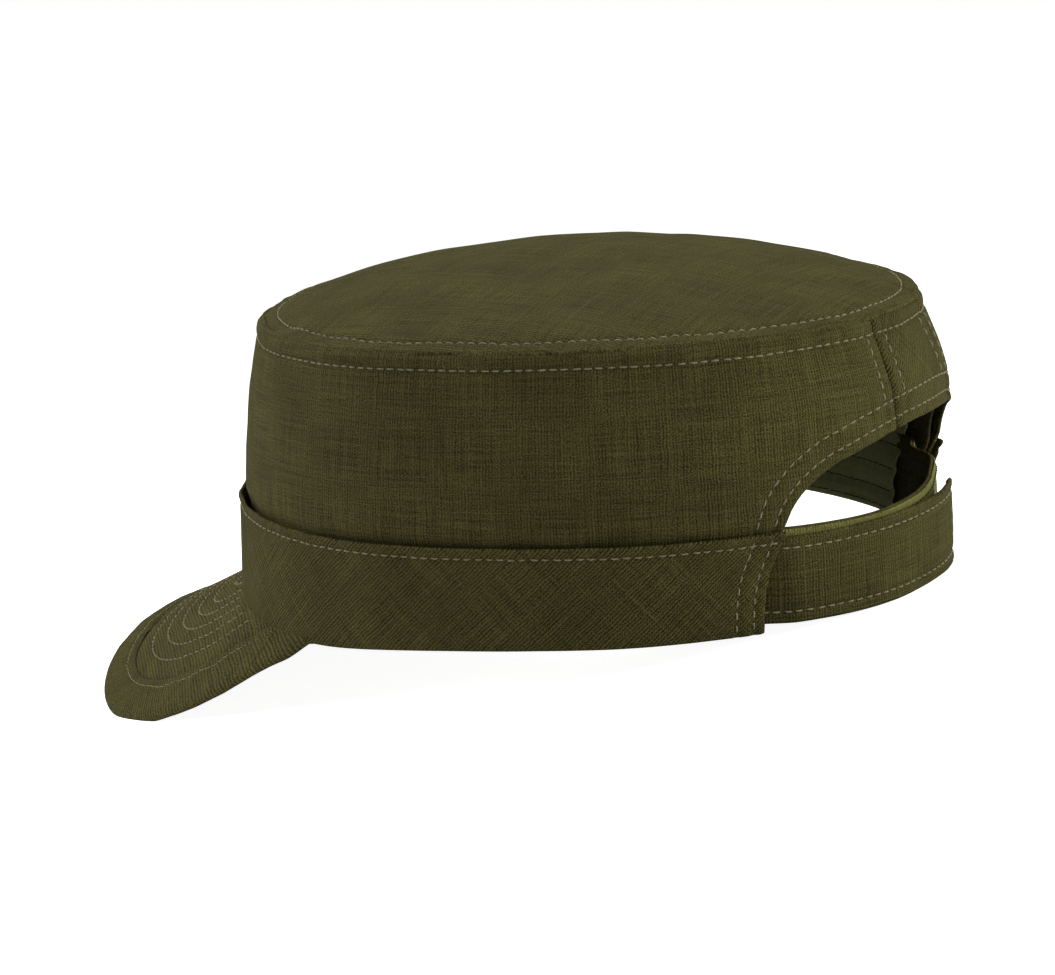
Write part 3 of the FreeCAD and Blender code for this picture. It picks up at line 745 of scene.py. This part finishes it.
def band_surface(u, z):
    u = wrapped(u)
    to_arch = arch_distance(u, z)
    relief = 0.45 * rumple(u, z, 26, 31) + 0.12 * rumple(u, z, 7, 32)
    relief += 0.3 * wander(u, 6.0, 33) * np.exp(-((z - BAND_TOP) / 5) ** 2)
    relief -= 0.45 * valley(z - BAND_ROW)
    relief += 0.25 * valley(z - BAND_TOP + 0.9, 1.0) - 0.35 * valley(z + dip(u), 1.2)
    relief -= 0.4 * valley(to_arch - ROW_NEAR, 0.7) + 0.35 * valley(to_arch - ROW_FAR, 0.7)
    return oval(turn_of(u), z, inset=-relief)


def leg_u(z, grow=0.0):
    """Tape measure at the left leg's edge."""
    return u_of_x(arch_x(z, grow), z)


def belt(name, low, high, surface, thickness, material, grow=0.0, rows=60, flip=False, dips=True):
    """A strip from leg to leg: the same columns all the way up, stretched to the legs' shape."""
    half = steps(0, 1, 1.5 / 220, 0.6 / 220, (1.0,), 16 / 220)
    columns = np.concatenate([-half[:0:-1], half])
    rise = np.linspace(0, 1, rows)[:, None]
    z = low + (high - low) * rise + 0 * columns
    u = columns[None, :] * leg_u(z, grow)
    z = z - (dip(u) * (1 - rise) if dips else 0)
    return cloth_sheet(name, surface(u, z), np.stack([u, z], -1), thickness, material, flip)


band = belt("band_shell", 0.0, BAND_TOP, band_surface, 1.0, bias_cloth)
place(band, "band_outer", "shell_cloth")
print("band:", len(band.data.polygons), "faces")

# %% [markdown]
# ## The peak
# The peak is a flat board between two cloths, bent round the brow and sloping down. Its surface is a
# height over the plan: a slope, a bend across, and a blend into the band's lower edge. The outline is one
# smooth curve from corner to corner, and the rows of stitches keep their distance from it.

# %% The peak's surface and outline
PEAK_FRONT, PEAK_RISE, PEAK_SLOPE = 101.5, -1.25, math.tan(math.radians(30.66))
PEAK_CURL, PEAK_RADIUS = 0.00168, 123.7
PEAK_TURN = math.radians(75.5)
PEAK_TIP = 153.5
BORDER = 9.6
PEAK_ROWS = (15.2, 20.0, 24.8, 29.6, 34.4, 41.0)


def peak_raw(x, y):
    ahead = -PEAK_FRONT - y
    sag = PEAK_RADIUS - np.sqrt(np.maximum(PEAK_RADIUS ** 2 - x * x, 1))
    return PEAK_RISE - PEAK_SLOPE * ahead + PEAK_CURL * np.maximum(ahead, 0) ** 2 - sag


def root(turn, inset=0.0):
    """The peak's root under the band, as (x, y)."""
    return oval(turn, 0 * turn, inset=inset)[..., :2]


ROOT_TURNS = np.linspace(-PEAK_TURN * 1.05, PEAK_TURN * 1.05, 121)
ROOT = root(ROOT_TURNS)
ROOT_LIFT = -dip(np.interp(ROOT_TURNS, turns, TAPE)) + 0.3 - peak_raw(*ROOT.T)


def root_distance(x, y):
    """The turn of the nearest place on the root, roughly, and how far off it is."""
    turn = np.arctan2(x / BRIM["half"], -(y - WIDEST_Y) / (BRIM["front"] + WIDEST_Y))
    near = root(turn)
    outside = np.hypot(x, y - WIDEST_Y) - np.hypot(near[..., 0], near[..., 1] - WIDEST_Y)
    return turn, outside


def peak_height(x, y):
    turn, outside = root_distance(x, y)
    lift = np.interp(turn, ROOT_TURNS, ROOT_LIFT)
    return peak_raw(x, y) + lift * np.exp(-(np.maximum(outside, 0) / 14) ** 1.4)


corner = root(np.array(PEAK_TURN))
handles = np.array([corner, corner + (0.5, -57.2), (85.0, -PEAK_TIP), (0.0, -PEAK_TIP)])
s = np.linspace(0, 1, 400)[:, None]
left_edge = ((1 - s) ** 3 * handles[0] + 3 * (1 - s) ** 2 * s * handles[1]
             + 3 * (1 - s) * s * s * handles[2] + s ** 3 * handles[3])
OUTLINE = even(np.concatenate([left_edge * (-1, 1), left_edge[::-1][1:]]), 441)
OUTLINE_IN = np.gradient(OUTLINE, axis=0)[:, ::-1] * (-1, 1)
OUTLINE_IN /= np.linalg.norm(OUTLINE_IN, axis=1, keepdims=True)


def edge_distance(x, y):
    shape = np.shape(x)
    flat = np.stack([np.ravel(x), np.ravel(y)], -1)
    found = np.concatenate([np.sqrt(((block[:, None] - OUTLINE[None]) ** 2).sum(-1).min(1))
                            for block in np.array_split(flat, 40)])
    return found.reshape(shape)


def peak_surface(x, y):
    """The top cloth of the peak, pulled down along its rows."""
    deep = edge_distance(x, y)
    relief = 0.35 * rumple(x, y, 22, 41) + 0.12 * rumple(x, y, 6, 42)
    for at in PEAK_ROWS:
        relief = relief - 0.42 * valley(deep - at, 0.8)
    relief = relief - 1.1 * valley(deep - BORDER, 0.9)
    return np.stack([x, y, peak_height(x, y) + relief], -1)


def peak_grid(rim_inset, root_inset, rows):
    """Plan grid from the rim to the root."""
    rim = OUTLINE + OUTLINE_IN * rim_inset
    base = root(np.linspace(-PEAK_TURN, PEAK_TURN, len(OUTLINE)), root_inset)
    share = np.linspace(0, 1, rows)[:, None, None]
    return rim[None] * (1 - share) + base[None] * share


plan = peak_grid(1.5, 0.9, 120)
x, y = plan[..., 0], plan[..., 1]
peak_top = cloth_sheet("peak_top_cloth", peak_surface(x, y), plan, 0.8, bias_cloth)
plan = peak_grid(2.0, 1.5, 30)
x, y = plan[..., 0], plan[..., 1]
board_face = np.stack([x, y, peak_height(x, y) - 0.85], -1)
peak_board = cloth_sheet("peak_board_plate", board_face, plan, 0.7, board)
under_relief = sum(0.35 * valley(edge_distance(x, y) - at, 1.5) for at in PEAK_ROWS)
under_face = np.stack([x, y, peak_height(x, y) - 2.15 + under_relief], -1)
peak_under = cloth_sheet("peak_under_cloth", under_face, plan, 0.5, side_cloth, flip=True)
place(peak_top, "visor_top_cloth", "shell_cloth")
place(peak_board, "visor_board", "visor_board")
place(peak_under, "visor_under_cloth", "shell_cloth")
print("peak:", len(peak_top.data.polygons), "faces on the top cloth")


# %% The border folded over the rim
BORDER_RADIUS = 1.5


def border_surface(run, across):
    """The border: across < 0 lies on top, 0 is the rim, > 0 lies underneath; run goes along the outline."""
    at = np.clip(run, 0, len(OUTLINE) - 1)
    whole = np.arange(len(OUTLINE))
    edge = np.stack([np.interp(at, whole, OUTLINE[:, k]) for k in (0, 1)], -1)
    inwards = np.stack([np.interp(at, whole, OUTLINE_IN[:, k]) for k in (0, 1)], -1)
    radius = BORDER_RADIUS
    angle = np.clip(across / radius, -math.pi / 2, math.pi / 2)
    flat = np.maximum(np.abs(across) - radius * math.pi / 2, 0)
    tuck = 1.8 * np.exp(-(np.minimum(run, len(OUTLINE) - 1 - run) / 7) ** 2)
    reach = radius * (1 - np.cos(angle)) + flat + tuck
    plan = edge + inwards * reach[..., None]
    puff = 0.25 * wander(run, 9, 51) * valley(flat - 4, 4) + 0.25 * rumple(run, across, 7, 52)
    fold = 0.9 * valley(flat - BORDER + radius, 1.2) + 0.4 * valley(flat - BORDER + radius + 2.2, 0.7)
    middle = peak_height(plan[..., 0], plan[..., 1]) - radius + 0.55
    height = middle + (radius + puff - fold) * np.sin(-angle)
    return np.concatenate([plan, height[..., None]], -1)


BORDER_ARC = BORDER_RADIUS * math.pi / 2
BORDER_FLAT = BORDER - BORDER_RADIUS
across = np.concatenate([np.linspace(-BORDER_ARC - BORDER_FLAT, -BORDER_ARC, 22),
                         np.linspace(-BORDER_ARC, BORDER_ARC, 16)[1:-1],
                         np.linspace(BORDER_ARC, BORDER_ARC + BORDER_FLAT, 14)])
run = np.arange(2.0, len(OUTLINE) - 2.0, 1.0)
RUN, ACROSS = np.meshgrid(run, across)
border_points = border_surface(RUN, ACROSS)
pattern = np.stack([RUN * 0.75, ACROSS], -1)
border = cloth_sheet("peak_border_binding", border_points, pattern, 0.6, bias_cloth, flip=True)
place(border, "visor_border", "shell_cloth")
print("border:", len(border.data.polygons), "faces")

# %% [markdown]
# ## The strap and the tab
# The strap comes out from behind the left leg and crosses the gap; its free end stands a little proud.
# The tab crosses below it from the right leg and carries the loop tape. Both are shaped round the leg
# that they are sewn into, and neither is hung on a body.

# %% Strap and tab surfaces
STRAP_LOW, STRAP_HIGH = 2.1, 24.0
TAB_LOW, TAB_HIGH = 2.6, 26.4
STRAP_START = float(u_of_x(ARCH_HALF + 9))
STRAP_EDGE = float(u_of_x(ARCH_HALF))
STRAP_END = 2 * HALF_ROUND - float(u_of_x(18.0))
TAB_EDGE = 2 * HALF_ROUND - STRAP_EDGE


def bow(u):
    """Strap and tab stand out between the leg and the free end."""
    return 3.4 * np.sin(math.pi * np.clip((u - STRAP_EDGE) / (STRAP_END - STRAP_EDGE), 0, 1))


def strap_surface(u, z, behind=0.0):
    out = -2.6 + 2.5 * soft_step((u - STRAP_EDGE + 1) / 12)
    out = out + 2.2 * soft_step((u - STRAP_END + 34) / 34) - behind + bow(u)
    relief = 0.3 * rumple(u, z, 20, 61) + 0.1 * rumple(u, z, 6, 62)
    for row in (z - STRAP_LOW - 2.6, STRAP_HIGH - 2.6 - z, STRAP_END - 2.6 - u):
        relief = relief - 0.4 * valley(row, 0.7)
    turn = turn_of(u)
    return oval(turn, z, inset=rear_puff(turn, z) - out - relief * (behind == 0))


def tab_surface(u, z, behind=0.0):
    away = TAB_EDGE - u
    inset = 2.9 + 3.4 * np.exp(-((away - 11) / 9.0) ** 2) + 1.0 * soft_step((3 - away) / 6)
    inset = inset + 0.8 * soft_step((STRAP_EDGE + 8 - u) / 8) - 0.85 * bow(u)
    drop = 0.35 * bow(u) + 0.4
    turn = turn_of(u)
    inset = inset + rear_puff(turn, z - drop)
    return oval(turn, z - drop, inset=inset + behind + 0.2 * rumple(u, z, 14, 63))


def strip(name, start, end, low, high, surface, thickness, material, flip=False, **extra):
    u_lines, z_lines = steps(start, end, 0.6), np.linspace(low, high, 42)
    u, z = np.meshgrid(u_lines, z_lines)
    return cloth_sheet(name, surface(u, z, **extra), np.stack([u, z], -1), thickness, material, flip)


def bending(piece, nodes, slot):
    """Bake a piece's placement into its mesh and hide the nodes that it stands for; the piece is hung on no
    body.
    """
    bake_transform(piece)
    place(piece, nodes, slot, body=None)


strap = strip("strap_shell", STRAP_START, STRAP_END, STRAP_LOW, STRAP_HIGH, strap_surface, 1.3, strap_cloth)
hooks = strip("strap_hooks", STRAP_EDGE + 8, STRAP_END - 1.5, 3.5, 22.3, strap_surface, 0.5, hook_pile,
              flip=True, behind=1.9)
tab = strip("tab_shell", STRAP_EDGE + 1.5, TAB_EDGE + 9, TAB_LOW, TAB_HIGH, tab_surface, 1.0, strap_cloth,
            behind=0.75)
loops = strip("tab_loops", STRAP_EDGE + 3.5, TAB_EDGE + 6, TAB_LOW + 0.8, TAB_HIGH - 0.3, tab_surface, 0.7,
              loop_pile)
bending(strap, "strap_cloth strap_sewn_end", "shell_cloth")
bending(hooks, "strap_hook_tape", "hook_tape")
bending(tab, "tab_cloth tab_sewn_end", "shell_cloth")
bending(loops, "tab_loop_tape", "loop_tape")
print("strap is %.0f mm long" % (STRAP_END - STRAP_START))

# %% [markdown]
# ## The inside
# Inside, a quilted sweatband with a thin wadding behind it follows the band and stops short of the arch.
# Tapes cover the top seam and the two rear seams, and a shaped facing finishes the arch's edge.

# %% Sweatband, wadding, tapes and facing
QUILT = (2.5, 8.0, 15.0, 22.0, 29.0)


def sweat_surface(u, z):
    puff = -0.9 * np.ones_like(z)
    for row in QUILT:
        puff = puff + 0.8 * valley(z - row, 1.6)
    edge = soft_step((3 - z) / 4) + soft_step((z - 30) / 3)
    return oval(turn_of(u), z, inset=6.9 - puff - 2.4 * edge + 0.35 * wander(u + 0.6 * z, 9, 71))


def layer_at(inset):
    return lambda u, z: oval(turn_of(u), z, inset=inset + 0 * z)


# The sweatband takes the lining colour, which carries painted light for the cap's inside.
sweatband = belt("sweatband_cloth", 0.5, 33.0, sweat_surface, 0.7, lining_painted_light, grow=8.0, rows=70, flip=True)
wadding_strip = belt("sweatband_wadding", 3.0, 31.0, layer_at(3.4), 2.4, wadding, grow=12.0, rows=12)
interlining = belt("band_buckram", 1.0, 17.5, layer_at(1.5), 0.35, buckram, grow=4.0, rows=10)
place(sweatband, "sweatband", "sweatband_cloth")
place(wadding_strip, "sweatband_padding", "padding")
place(interlining, "band_interlining", "interlining")


def ring_sheet(name, low, high, inset, thickness, material):
    u, z = np.meshgrid(np.arange(-HALF_ROUND, HALF_ROUND, 2.0), np.linspace(low, high, 8))
    return cloth_sheet(name, layer_at(inset)(u, z), np.stack([u, z], -1), thickness, material, True, True)


seam_tape = ring_sheet("crown_seam_binding", 66.0, 73.5, 4.6, 0.7, tape_cloth)
place(seam_tape, "crown_seam_tape", "lining_cloth")
rear_tapes = []
for number, centre in enumerate((SIDE_END, 2 * HALF_ROUND - SIDE_END)):
    low = float(arch_height(np.array(SIDE_END))) + 1.0
    u, z = np.meshgrid(np.linspace(centre - 5, centre + 5, 14), np.linspace(low, 70.0, 24))
    tape = cloth_sheet("rear_seam_binding_%d" % number, layer_at(5.0)(u, z), np.stack([z, u], -1), 0.7,
                       tape_cloth, flip=True)
    place(tape, "" if number else "rear_seam_tapes", "lining_cloth")
    rear_tapes.append(tape)
widths = np.linspace(0.3, 14.0, 12)
outlines = np.stack([arch_outline(width, low=1.0, count=260) for width in widths])
facing_points = layer_at(4.0)(outlines[..., 0], outlines[..., 1])
facing_pattern = np.stack([np.broadcast_to(np.arange(260.0), outlines.shape[:2]),
                           np.broadcast_to(widths[:, None], outlines.shape[:2])], -1)
facing = cloth_sheet("arch_binding", facing_points, facing_pattern, 0.7, tape_cloth)
place(facing, "arch_facing", "lining_cloth")
print("inside pieces done")

# %% [markdown]
# ## The stitching
# Every row follows the surface that it is sewn into, so each stitch sits in the valley that it makes.

# %% Rows of stitches
def ring_row(surface, level, **settings):
    u = np.linspace(-HALF_ROUND, HALF_ROUND, 1600)
    return row_on(surface, u, np.full_like(u, level), **settings)


def arch_row(distance, seed):
    """A row beside the arch: on the band up the legs, and on the crown over the top."""
    ahead = np.gradient(ARCH_EDGE, axis=0)
    ahead /= np.linalg.norm(ahead, axis=1, keepdims=True)
    line = ARCH_EDGE + distance * np.stack([-ahead[:, 1], ahead[:, 0]], -1)
    line = line[line[:, 1] > 0.8]
    done = []
    for side in (line[:len(line) // 2 + 1], line[len(line) // 2:][::-1]):
        low, high = side[side[:, 1] < BAND_TOP - 0.6], side[side[:, 1] > BAND_TOP + 0.6]
        done.append(row_on(band_surface, low[:, 0], low[:, 1], seed=seed))
        done.append(row_on(crown_surface, high[:, 0], high[:, 1], seed=seed + 1))
    return done


seam_rows = [ring_row(crown_surface, SEAM_Z - TOP_ROW, seed=81), ring_row(dome_surface, DOME_ROW, seed=82)]
seam_rows += arch_row(ROW_NEAR, 83) + arch_row(ROW_FAR, 85)
for centre in (SIDE_END, 2 * HALF_ROUND - SIDE_END):
    for offset in (-4.5, 4.5):
        low = float(arch_height(np.array(centre + offset))) + ROW_FAR + 0.5
        z = np.linspace(low, SEAM_Z - TOP_ROW, 300)
        seam_rows.append(row_on(crown_surface, np.full_like(z, centre + offset), z, seed=87))
end = float(leg_u(BAND_ROW)) - 0.8
u = np.linspace(-end, end, 1600)
seam_rows.append(row_on(band_surface, u, np.full_like(u, BAND_ROW), seed=88))
crown_stitches = stitches("stitches_crown", seam_rows, thread)

peak_lines = []
for number, at in enumerate(PEAK_ROWS):
    line = OUTLINE + OUTLINE_IN * at
    beyond = root_distance(line[:, 0], line[:, 1])[1]
    ok = beyond > 0.6
    deep = edge_distance(line[:, 0], line[:, 1])
    line = line[ok & (deep > at - 0.4)]
    peak_lines.append(row_on(peak_surface, line[:, 0], line[:, 1], seed=91 + number, pitch=3.1))
peak_stitches = stitches("stitches_peak", peak_lines, thread)


def border_top(run_mm, across):
    return border_surface(run_mm / 0.75, across)


run = np.linspace(9, 0.75 * (len(OUTLINE) - 1) - 9, 1600)
row_across = -(BORDER_ARC + BORDER_FLAT - 2.2)
border_line = row_on(border_top, run[::-1], np.full_like(run, row_across), seed=97)
under_line = row_on(border_top, run, np.full_like(run, -row_across), seed=98)
border_stitches = stitches("stitches_border", [border_line, under_line], thread)
for piece in (crown_stitches, peak_stitches, border_stitches):
    place(piece, "", "shell_cloth")

u = np.linspace(STRAP_EDGE + 0.5, STRAP_END - 2.6, 700)
z = np.linspace(STRAP_LOW + 2.6, STRAP_HIGH - 2.6, 300)
strap_lines = [row_on(strap_surface, u, np.full_like(u, level), seed=101 + n)
               for n, level in enumerate((STRAP_LOW + 2.6, STRAP_HIGH - 2.6))]
strap_lines.append(row_on(strap_surface, np.full_like(z, STRAP_END - 2.6), z, seed=103))
strap_stitches = stitches("stitches_strap", strap_lines, thread)
bending(strap_stitches, "", "shell_cloth")
u = np.linspace(STRAP_EDGE + 5, TAB_EDGE - 0.5, 700)
tab_lines = [row_on(tab_surface, u, np.full_like(u, level), seed=104, pitch=2.4)
             for level in (TAB_HIGH - 2.0, TAB_LOW + 2.4)]
tab_stitches = stitches("stitches_tab", tab_lines, dark_thread)
bending(tab_stitches, "", "shell_cloth")

quilt_lines = []
for number, row in enumerate(QUILT):
    end = float(leg_u(row, 8.0)) - 1.5
    u = np.linspace(end, -end, 1600)
    level = row - dip(u) * (1 - (row - 0.5) / 32.5)
    quilt_lines.append(row_on(sweat_surface, u, level, seed=111 + number, lift=0.3))
quilt_stitches = stitches("stitches_sweatband", quilt_lines, dark_thread)
place(quilt_stitches, "", "sweatband_cloth")

# %% [markdown]
# ## Floor, light and camera
# A pale floor catches the shadow. Large soft lamps stand at the left, above and at the right, and the
# front is left darker, which shapes the cloth. The camera stands at the cap's rear left corner.

# %% Floor
def floor_piece():
    mesh = bpy.data.meshes.new("studio_floor")
    corners = [(-60, -60, 0), (60, -60, 0), (60, 60, 0), (-60, 60, 0)]
    mesh.from_pydata(corners, [], [(0, 1, 2, 3)])
    floor = bpy.data.objects.new("studio_floor", mesh)
    bpy.context.scene.collection.objects.link(floor)
    material = bpy.data.materials.new("pale floor")
    material.use_nodes = True
    n = Nodes(material.node_tree)
    shader = material.node_tree.nodes["Principled BSDF"]
    speckle = n.noise(n.add("ShaderNodeTexCoord").outputs["Object"], 60.0)
    n.feed(shader.inputs["Base Color"], n.mix(speckle, linear(234, 234, 234), linear(237, 237, 237)))
    shader.inputs["Roughness"].default_value = 0.95
    shader.inputs["Specular IOR Level"].default_value = 0.0
    shader.inputs["Emission Color"].default_value = (1, 1, 1, 1)
    n.feed(shader.inputs["Emission Strength"],
           n.math("MULTIPLY", n.add("ShaderNodeLightPath").outputs["Is Camera Ray"], 0.93))
    mesh.materials.append(material)


floor_piece()

# %% Light and camera
CAMERA = {"azimuth": 119.868, "elevation": 11.836, "roll": -3.346, "distance": 722.93,
          "focal": 2562.19, "across": 64.994, "up": -89.147, "frame": 1055.0}
SENSOR = 36.0
azimuth, elevation = math.radians(CAMERA["azimuth"]), math.radians(CAMERA["elevation"])
back = np.array([math.sin(azimuth) * math.cos(elevation), -math.cos(azimuth) * math.cos(elevation),
                 math.sin(elevation)])
right = np.cross(-back, (0, 0, 1))
right /= np.linalg.norm(right)
up = np.cross(right, -back)
roll = math.radians(CAMERA["roll"])
right, up = (math.cos(roll) * right + math.sin(roll) * up, -math.sin(roll) * right + math.cos(roll) * up)
target = np.array([0, 0, 45.0])


def aim(obj, position, right_axis, up_axis, back_axis):
    """Place an object in the resting frame by a position and axes of the wearing frame."""
    from mathutils import Matrix
    turn = [np.asarray(axis) @ WORN_AXES for axis in (right_axis, up_axis, back_axis)]
    matrix = Matrix([[turn[0][k], turn[1][k], turn[2][k], to_rest(position)[k]] for k in range(3)]
                    + [[0, 0, 0, 1]])
    obj.matrix_world = matrix


camera = bpy.data.objects.new("camera", bpy.data.cameras.new("camera"))
bpy.context.scene.collection.objects.link(camera)
camera.data.sensor_width = SENSOR
camera.data.lens = CAMERA["focal"] / CAMERA["frame"] * SENSOR
camera.data.shift_x = -CAMERA["across"] / CAMERA["frame"]
camera.data.shift_y = CAMERA["up"] / CAMERA["frame"]
camera.data.clip_start = 0.05
aim(camera, target + back * CAMERA["distance"], right, up, back)
bpy.context.scene.camera = camera


def lamp(name, side, height, behind, size, energy):
    """A soft square lamp, placed by the camera's own right, up and back axes and aimed at the cap."""
    toward = side * right + height * up + behind * back
    toward = toward / np.linalg.norm(toward)
    across_axis = np.cross((0.1, 0.2, 1), toward)
    across_axis /= np.linalg.norm(across_axis)
    data = bpy.data.lights.new(name, "AREA")
    data.size = size
    data.energy = energy
    obj = bpy.data.objects.new(name, data)
    bpy.context.scene.collection.objects.link(obj)
    aim(obj, target + toward * 1000, across_axis, np.cross(toward, across_axis), toward)


lamp("lamp left", -1.0, 0.5, -0.05, 0.7, 7.6)
lamp("lamp right", 1.0, 0.35, 0.3, 0.6, 8.5)
lamp("lamp top", -0.1, 1.0, -0.25, 0.8, 4.8)
lamp("lamp front", 0.12, 0.1, 1.0, 0.3, 0.65)
world = bpy.data.worlds.new("studio")
bpy.context.scene.world = world
world.use_nodes = True
n = Nodes(world.node_tree)
surround = world.node_tree.nodes["Background"]
surround.inputs["Color"].default_value = (1, 1, 1, 1)
n.feed(surround.inputs["Strength"],
       n.math("ADD", n.math("MULTIPLY", n.add("ShaderNodeLightPath").outputs["Is Camera Ray"], 0.9), 0.1))
bpy.context.scene.view_settings.view_transform = "Standard"
